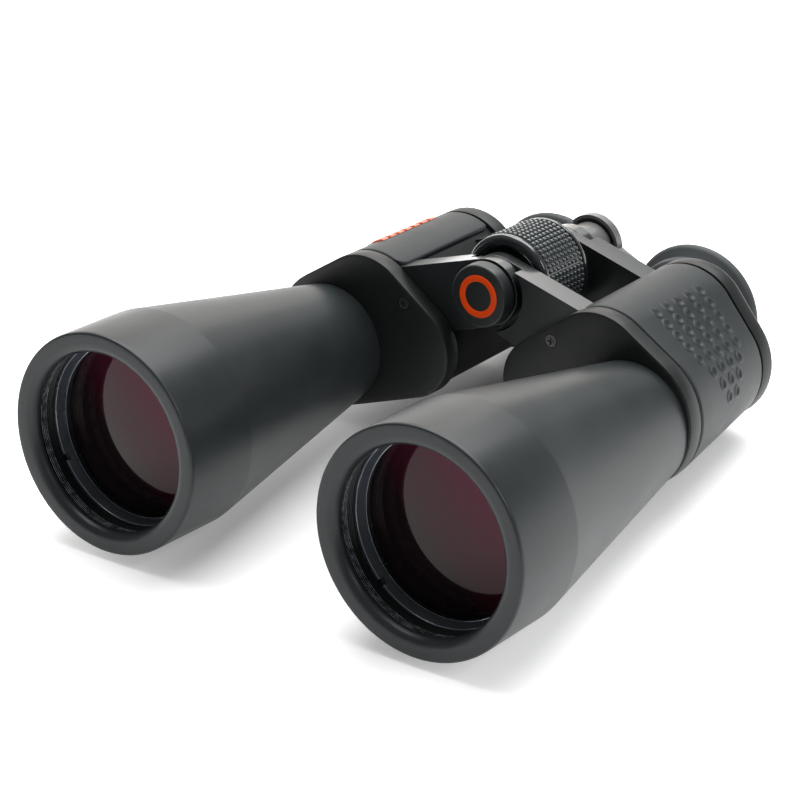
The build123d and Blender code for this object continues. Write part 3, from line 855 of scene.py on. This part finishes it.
def armour_mesh(name, sign):
    """The rubber skin: rounded edges all round and the raised dimples, as one closed sheet."""
    start, end = BODY_Y + GROOVE, COVER_Y - GROOVE
    whole = side_line(start)[1][-1]
    columns = marks(0.0, DIMPLED_SIDE, whole, 1.2)
    below = DIMPLED_SIDE[1]
    centres = dimple_centres()
    outer, inner = [], []
    for y in marks(start, DIMPLED_Y, end, 1.0):
        line, lengths = side_line(y)
        total = lengths[-1]
        trim = rounding(y - start, ARMOUR_CORNERS[0]) + rounding(end - y, ARMOUR_CORNERS[1])
        low, high = trim, total - trim * 0.4
        j = 0
        line_out, line_in = [], []
        for mark in columns:
            # Columns keep their distance from the top edge and close up at the lower edge.
            share = mark
            if mark >= below:
                share = below + (mark - below) * ((total - below) / (whole - below))
            s = low + (share / total) * (high - low) if trim else share
            s = min(max(s, 0.0), total)
            while j < len(lengths) - 2 and lengths[j + 1] < s:
                j += 1
            t = (s - lengths[j]) / max(1e-9, lengths[j + 1] - lengths[j])
            (x0, z0), (x1, z1) = line[j], line[j + 1]
            x, z = x0 + (x1 - x0) * t, z0 + (z1 - z0) * t
            size = math.hypot(x1 - x0, z1 - z0) or 1.0
            nx, nz = (z0 - z1) / size, (x1 - x0) / size
            margin = min(y - start, end - y, s - low, high - s)
            lift = dimples_at(centres, (x, y, z)) - rounding(margin, ARMOUR_EDGE_R)
            line_out.append((x + nx * lift, y, z + nz * lift))
            line_in.append((x - nx * ARMOUR_DEPTH, y, z - nz * ARMOUR_DEPTH))
        outer.append(line_out)
        inner.append(line_in)
    rows, cols = len(outer), len(outer[0])
    points = [p for line in outer for p in line] + [p for line in inner for p in line]
    base = rows * cols
    faces = []
    for i in range(rows - 1):
        for k in range(cols - 1):
            a = i * cols + k
            faces.append((a, a + 1, a + cols + 1, a + cols))
            faces.append((base + a, base + a + cols, base + a + cols + 1, base + a + 1))
    for i in range(rows - 1):
        for k in (0, cols - 1):
            a = i * cols + k
            faces.append((a, a + cols, base + a + cols, base + a))
    for k in range(cols - 1):
        for i in (0, rows - 1):
            a = i * cols + k
            faces.append((a, a + 1, base + a + 1, base + a))
    return to_mesh(name, points, faces, sign)


for side, sign in SIDES:
    body = f"{side}_half"
    mesh = plate_mesh(f"{side}_plate", sign)
    front_y = row(0.0, PLATE_Y + 0.2, 0.0)[1]
    mesh.materials.append(SURFACES["cover_band"])
    split_faces(mesh, lambda face: face.center.y < front_y, "cover_black")
    finish_mesh(f"{side}_plate", mesh, "cover_band", body, (f"{side}_front_plate",), "cover_black")

    mesh = cover_mesh(f"{side}_cover", sign)
    finish_mesh(f"{side}_cover", mesh, "cover_band", body, (f"{side}_rear_cover",), "cover_black")

    finish_mesh(
        f"{side}_shell", housing_mesh(f"{side}_shell", sign), "housing_plastic", body,
        (f"{side}_housing",),
    )
    for name, span, root, knuckle_r in ARMS:
        forward = (side == "right") == (name == "front_arm")
        mesh = arm_mesh(span, root, knuckle_r, forward, sign)
        finish_mesh(f"{side}_{name}", mesh, "arm_paint", body, (f"{side}_housing",), weighted=True)
    finish_mesh(
        f"{side}_skin", armour_mesh(f"{side}_skin", sign),
        "armour_rubber", body, (f"{side}_armour",), sharp=60.0,
    )


finish_mesh(
    "dashes", dashes_mesh("dashes", -1), "dash_orange", "right_half", slot="badge_orange", sharp=50.0
)

# --- hinge and focus ---------------------------------------------------------------------
turned(
    "cap_disc",
    soften(
        [
            (0, 124.0, 0), (10.7, 124.0, 0.25), (11.2, 124.5, 0.25), (11.5, 129.1, 0.3),
            (6.05, 129.1, 0.2), (6.05, 126.1, 0.1), (0, 126.1, 0),
        ],
        steps=3,
    ),
    "cap_plastic", "tripod_cap", AXIS, 1, ("tripod_cap",),
)
turned(
    "cap_ring",
    soften([(7.7, 124.4), (7.7, 123.75), (5.35, 123.75), (5.35, 124.4)], 0.15, 2),
    "badge_orange", "tripod_cap", AXIS, 1, ("cap_badge",),
)
GRIP_START, GRIP_END = 143.6, 165.6
turned(
    "wheel",
    soften(
        [
            (6.1, 144.6, 0.1), (13.0, 144.6, 0.3), (13.2, 141.6, 0.3), (14.4, 141.0, 0.4),
            (16.4, 141.0, 0.6), (17.6, 142.0, 0.5), (17.6, 143.5, 0.2), (15.6, 143.6, 0.1),
            (15.6, 165.6, 0.1), (17.6, 165.7, 0.2), (17.6, 167.2, 0.5), (16.4, 168.0, 0.6),
            (6.1, 168.0, 0.3),
        ],
        steps=3,
    ),
    "wheel_plastic", "focus_wheel", AXIS, 1, ("focus_wheel",),
)


def grip_mesh(name):
    """The rubber sleeve, covered in rows of small square studs with rounded tops."""
    around, along = 55, 9
    per_stud = 8
    floor_r, top_r, bore_r = 16.8, 17.9, 15.65
    stops = (0.0, 0.12, 0.20, 0.30, 0.5, 0.70, 0.80, 0.88)
    heights = (0.0, 0.0, 0.72, 0.97, 1.0, 0.97, 0.72, 0.0)
    start, end = GRIP_START + 0.05, GRIP_END - 0.05
    margin = 0.5
    pitch = (end - start - 2 * margin) / along
    ys = [(start, 0.0)]
    for k in range(along):
        for stop, height in zip(stops, heights):
            ys.append((start + margin + pitch * (k + stop), height))
    ys.append((end, 0.0))
    rings = []
    for y, tall in ys:
        ring = []
        for i in range(around):
            for stop, height in zip(stops, heights):
                a = 2 * math.pi * (i + stop) / around
                r = floor_r + (top_r - floor_r) * min(tall, height)
                ring.append((r * math.cos(a), y, HINGE_Z + r * math.sin(a)))
        rings.append(ring)
    for y in (end, start):
        ring = []
        for i in range(around * per_stud):
            stop = stops[i % per_stud]
            a = 2 * math.pi * (i // per_stud + stop) / around
            ring.append((bore_r * math.cos(a), y, HINGE_Z + bore_r * math.sin(a)))
        rings.append(ring)
    points, faces = skin(rings)
    return to_mesh(name, points, faces)


finish_mesh("grip", grip_mesh("grip"), "grip_rubber", "focus_wheel", ("focus_grip",), sharp=50.0)

# --- eyepieces ---------------------------------------------------------------------------
EYECUP_PROFILE = soften(
    [
        (17.55, 212.6, 0), (20.4, 212.6, 0.5), (22.3, 214.0, 0.8), (22.6, 217.4, 0.4),
        (21.9, 218.1, 0.4), (25.5, 220.5, 0.9), (26.2, 222.0, 0.9), (25.4, 224.0, 0.8),
        (23.6, 225.0, 0.9), (21.6, 224.3, 0.8), (19.2, 222.0, 0.9), (17.0, 220.5, 0.5),
        (16.2, 220.02, 0), (17.55, 220.02, 0),
    ],
    steps=5,
)
for side, sign in SIDES:
    ocular = "left_ocular" if side == "left" else "right_eyepiece"
    turned(
        f"{side}_cup", EYECUP_PROFILE, "eyecup_rubber", ocular, EYE, sign, (f"{side}_eyecup",),
    )

BRIDGE_Y, BRIDGE_FLOOR, BRIDGE_END = 197.0, 199.5, 200.6
BRIDGE_TIP_R = 5.6
BRIDGE_COLLAR_R = 15.2
BRIDGE_HUB_R = 11.4
BRIDGE_CUP_R = 10.1
BRIDGE_CLEAR_R = 12.2
BRIDGE_KNUCKLE_R = 7.4
SPINDLE_BORE_R = 4.0
EYE_BORE_R = 11.0


def bridge_line():
    """A bridge arm's outline: wide towards the collar on top, straight below."""
    return hull(((*EYE, BRIDGE_COLLAR_R), (*AXIS, BRIDGE_TIP_R)), 0.0, 36, 14)


def below_line():
    """The corner cut away below the arm, where the two arms close on each other."""
    a = math.atan2(EYE[1] - HINGE_Z, EYE[0])
    along, down = Vector((math.cos(a), math.sin(a))), Vector((math.sin(a), -math.cos(a)))
    hub = Vector(AXIS)
    top, bottom = down * BRIDGE_TIP_R, down * (BRIDGE_TIP_R + 20.0)
    reach = along * 24.0
    return [tuple(hub + c) for c in (top, reach + top, reach + bottom, bottom)]


def sector_line(first, last, reach):
    """A wedge about the hinge axis, from one angle to the other in degrees."""
    steps = 6
    angles = [math.radians(first + (last - first) * k / steps) for k in range(steps + 1)]
    return [AXIS] + [(reach * math.cos(a), HINGE_Z + reach * math.sin(a)) for a in angles]


def left_bridge():
    """The arm whose hub is a cup that the other arm's knuckle turns in."""
    start, end = BRIDGE_Y, BRIDGE_END
    plate = slab_object(bridge_line(), start, end)
    hub = slab_object(disc_line(BRIDGE_HUB_R, AXIS, 96), start, end)
    joined = carved(plate, (slab_object(below_line(), start - 5, end + 5),), (hub,))
    body = solid(joined)
    recess = slab_object(disc_line(BRIDGE_CUP_R, AXIS, 96), start - 1, BRIDGE_FLOOR)
    notch = slab_object(sector_line(138, 266, 30), start - 1, BRIDGE_FLOOR)
    bore = slab_object(disc_line(SPINDLE_BORE_R, AXIS, 48), start - 1, end + 1)
    eye = slab_object(disc_line(EYE_BORE_R, EYE, 96), start - 1, end + 1)
    return carved(body, (recess, notch, bore, eye), bevel=0.3, limit=35.0, segments=3)


def right_bridge():
    """The arm whose knuckle turns on the spindle, inside the other arm's cup."""
    start, end = BRIDGE_Y, BRIDGE_END
    plate = slab_object(bridge_line(), start, end, -1)
    knuckle = slab_object(disc_line(BRIDGE_KNUCKLE_R, AXIS, 72), start, end, -1)
    joined = carved(plate, (slab_object(below_line(), start - 5, end + 5, -1),), (knuckle,))
    body = solid(joined)
    behind = slab_object(disc_line(BRIDGE_CLEAR_R, AXIS, 96), BRIDGE_FLOOR - 0.1, end + 1, -1)
    bore = slab_object(disc_line(SPINDLE_BORE_R + 0.05, AXIS, 48), start - 1, end + 1, -1)
    eye = slab_object(disc_line(EYE_BORE_R + 0.05, EYE, 96), start - 1, end + 1, -1)
    return carved(body, (behind, bore, eye), bevel=0.3, limit=35.0, segments=3)


finish_mesh(
    "left_bridge", left_bridge(), "bridge_paint", "left_ocular", ("left_bridge_arm",),
    "arm_paint", weighted=True,
)
finish_mesh(
    "right_bridge", right_bridge(), "bridge_paint", "right_ocular", ("right_bridge_arm",),
    "arm_paint", weighted=True,
)

# --- the CAD nodes that stay -------------------------------------------------------------
KEPT = {
    "flint_lens": "objective_glass", "plate_screws": "black_steel", "prism_shelf": "black_anodised",
    "rear_prism": "prism_glass", "front_prism": "prism_glass", "prism_clips": "spring_steel",
    "cover_screws": "black_steel", "eyepiece_guide": "black_anodised",
    "eyepiece_barrel": "eyepiece_black", "field_lens": "eyepiece_glass",
    "eye_lens": "eyepiece_glass", "eyepiece_ring": "black_anodised",
    "eyepiece_collar": "eyepiece_black", "diopter_ring": "eyepiece_black",
    "hinge_shaft": "shaft_steel", "thrust_washer": "washer_brass", "spacer_bush": "arm_paint",
    "focus_spindle": "shaft_steel", "bridge_sleeve": "bridge_paint", "bridge_cap": "cap_plastic",
}
for name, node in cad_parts.items():
    part = name.split("_", 1)[1] if name.startswith(("left_", "right_")) else name
    if part in KEPT and not node.hide_render:
        finish = SURFACES[KEPT[part]]
        if node.material_slots:
            for place in node.material_slots:
                place.link = "OBJECT"
                place.material = finish
        else:
            node.data.materials.append(finish)

# --- floor, light and camera -------------------------------------------------------------
# The instrument stands on the rear edges of its hoods and on its eyecups, so the ground that
# touches both rises a little towards the eyes.
STAND_FRONT = Vector((0.0, -0.0821, 0.0))
STAND_BACK = Vector((0.0, 0.1091, 0.0173))
slope = math.atan2(STAND_BACK.z - STAND_FRONT.z, STAND_BACK.y - STAND_FRONT.y)

paper = bpy.data.materials.new("paper")
paper.use_nodes = True
paper_shader = paper.node_tree.nodes["Principled BSDF"]
paper_shader.inputs["Roughness"].default_value = 0.9
paper_shader.inputs["Specular IOR Level"].default_value = 0.1
# The floor's painted glow is white.
paper_shader.inputs["Emission Color"].default_value = (1.0, 1.0, 1.0, 1.0)
paper_tree = paper.node_tree
ground = paper_tree.nodes.new("ShaderNodeTexCoord")


def round_patch(centre, reach, near, far, inside, outside):
    """A value of the floor that goes from inside to outside round an oval patch of ground."""
    place = paper_tree.nodes.new("ShaderNodeMapping")
    place.inputs["Scale"].default_value = (1 / reach[0], 1 / reach[1], 0.0)
    place.inputs["Location"].default_value = (-centre[0] / reach[0], -centre[1] / reach[1], 0.0)
    paper_tree.links.new(ground.outputs["Object"], place.inputs["Vector"])
    away = paper_tree.nodes.new("ShaderNodeVectorMath")
    away.operation = "LENGTH"
    paper_tree.links.new(place.outputs["Vector"], away.inputs[0])
    return map_range(paper_tree, away.outputs["Value"], near, far, inside, outside)


# The floor glows a little: a painted fill light that lightens the shadows outside the instrument,
# glowing less between the two barrels and least under the hinge, where the ground is also painted
# darker as a painted shadow.
# Painted light: the floor's glow, strongest away from the instrument.
painted_fill_glow = round_patch((0.0, 0.10), (0.06, 0.14), 0.6, 1.5, 0.04, 0.45)
paper_tree.links.new(painted_fill_glow, paper_shader.inputs["Emission Strength"])
# Painted shadow: the floor's colour darkens under the hinge.
painted_hinge_shadow = round_patch((0.0, 0.165), (0.055, 0.050), 0.65, 1.25, 0.20, 0.90)
paper_tree.links.new(painted_hinge_shadow, paper_shader.inputs["Base Color"])
floor_mesh = bpy.data.meshes.new("floor")
half = 4.0
floor_mesh.from_pydata(
    [(-half, -half, 0), (half, -half, 0), (half, half, 0), (-half, half, 0)], [], [(0, 1, 2, 3)]
)
floor_mesh.materials.append(paper)
floor = bpy.data.objects.new("floor", floor_mesh)
floor.rotation_euler = (slope, 0.0, 0.0)
floor.location = STAND_FRONT - Vector((0.0, 0.0, 0.0002))
SCENE.collection.objects.link(floor)

world = bpy.data.worlds.new("studio")
SCENE.world = world
world.use_nodes = True
tree = world.node_tree
tree.nodes.clear()
world_out = tree.nodes.new("ShaderNodeOutputWorld")
ray = tree.nodes.new("ShaderNodeLightPath")
seen = add(tree, "ShaderNodeBackground", Color=(1.0, 1.0, 1.0, 1.0), Strength=1.0)
room = add(tree, "ShaderNodeBackground", Strength=1.0)
aim = tree.nodes.new("ShaderNodeTexCoord")
parts = tree.nodes.new("ShaderNodeSeparateXYZ")
tree.links.new(aim.outputs["Generated"], parts.inputs[0])
# The studio's white sweep is bright low down behind the instrument, fades upwards, and is
# darker in front of it.
behind = map_range(tree, parts.outputs["Y"], -0.1, 0.7)
low_down = map_range(tree, parts.outputs["Z"], 0.06, 0.30, 1.7, 0.08)
overhead = map_range(tree, parts.outputs["Z"], -0.1, 0.9, 0.02, 0.34)
glow = combine(tree, "ADD", combine(tree, "MULTIPLY", behind, low_down), overhead)
walls = tree.nodes.new("ShaderNodeCombineColor")
for channel in range(3):
    tree.links.new(glow, walls.inputs[channel])
tree.links.new(walls.outputs["Color"], room.inputs["Color"])
choose = tree.nodes.new("ShaderNodeMixShader")
tree.links.new(ray.outputs["Is Camera Ray"], choose.inputs["Fac"])
tree.links.new(room.outputs[0], choose.inputs[1])
tree.links.new(seen.outputs[0], choose.inputs[2])
tree.links.new(choose.outputs[0], world_out.inputs["Surface"])


def softbox(name, location, target, size, power, colour=(1.0, 1.0, 1.0)):
    """A rectangular light aimed at a point, its size in metres and its power in watts."""
    data = bpy.data.lights.new(name, "AREA")
    data.shape = "RECTANGLE"
    data.size, data.size_y = size
    data.energy = power
    data.color = colour
    lamp = bpy.data.objects.new(name, data)
    lamp.location = location
    aim = Vector(target) - Vector(location)
    lamp.rotation_euler = aim.to_track_quat("-Z", "Y").to_euler()
    SCENE.collection.objects.link(lamp)


softbox("top_light", (-0.2, 0.35, 1.6), (0.0, 0.0, 0.03), (1.8, 1.6), 49.0)
softbox("left_light", (-1.1, 1.0, 0.85), (0.0, 0.0, 0.04), (1.6, 1.0), 8.0, (1.0, 0.94, 0.86))
softbox("back_light", (-0.2, 1.25, 1.1), (0.0, 0.0, 0.06), (0.9, 0.4), 1.8)
softbox("right_light", (1.0, -0.1, 0.8), (0.0, 0.03, 0.07), (0.35, 0.35), 3.0)

CAMERA_AT = Vector((0.4808, -0.7034, 0.3707))
CAMERA_LOOKS_AT = Vector((0.05465, -0.1125, 0.0849))
CAMERA_ROLL = math.radians(0.883)
CAMERA_LENS = 120.22
data = bpy.data.cameras.new("camera")
data.sensor_width = 36.0
data.lens = CAMERA_LENS
data.clip_start, data.clip_end = 0.02, 20.0
camera = bpy.data.objects.new("camera", data)
SCENE.collection.objects.link(camera)
back = (CAMERA_AT - CAMERA_LOOKS_AT).normalized()
level_right = Vector((0, 0, 1)).cross(back).normalized()
level_up = back.cross(level_right)
right = level_right * math.cos(CAMERA_ROLL) + level_up * math.sin(CAMERA_ROLL)
up = level_up * math.cos(CAMERA_ROLL) - level_right * math.sin(CAMERA_ROLL)
camera.matrix_world = Matrix(
    (
        (right.x, up.x, back.x, CAMERA_AT.x),
        (right.y, up.y, back.y, CAMERA_AT.y),
        (right.z, up.z, back.z, CAMERA_AT.z),
        (0, 0, 0, 1),
    )
)
SCENE.camera = camera
SCENE.view_settings.view_transform = "Standard"
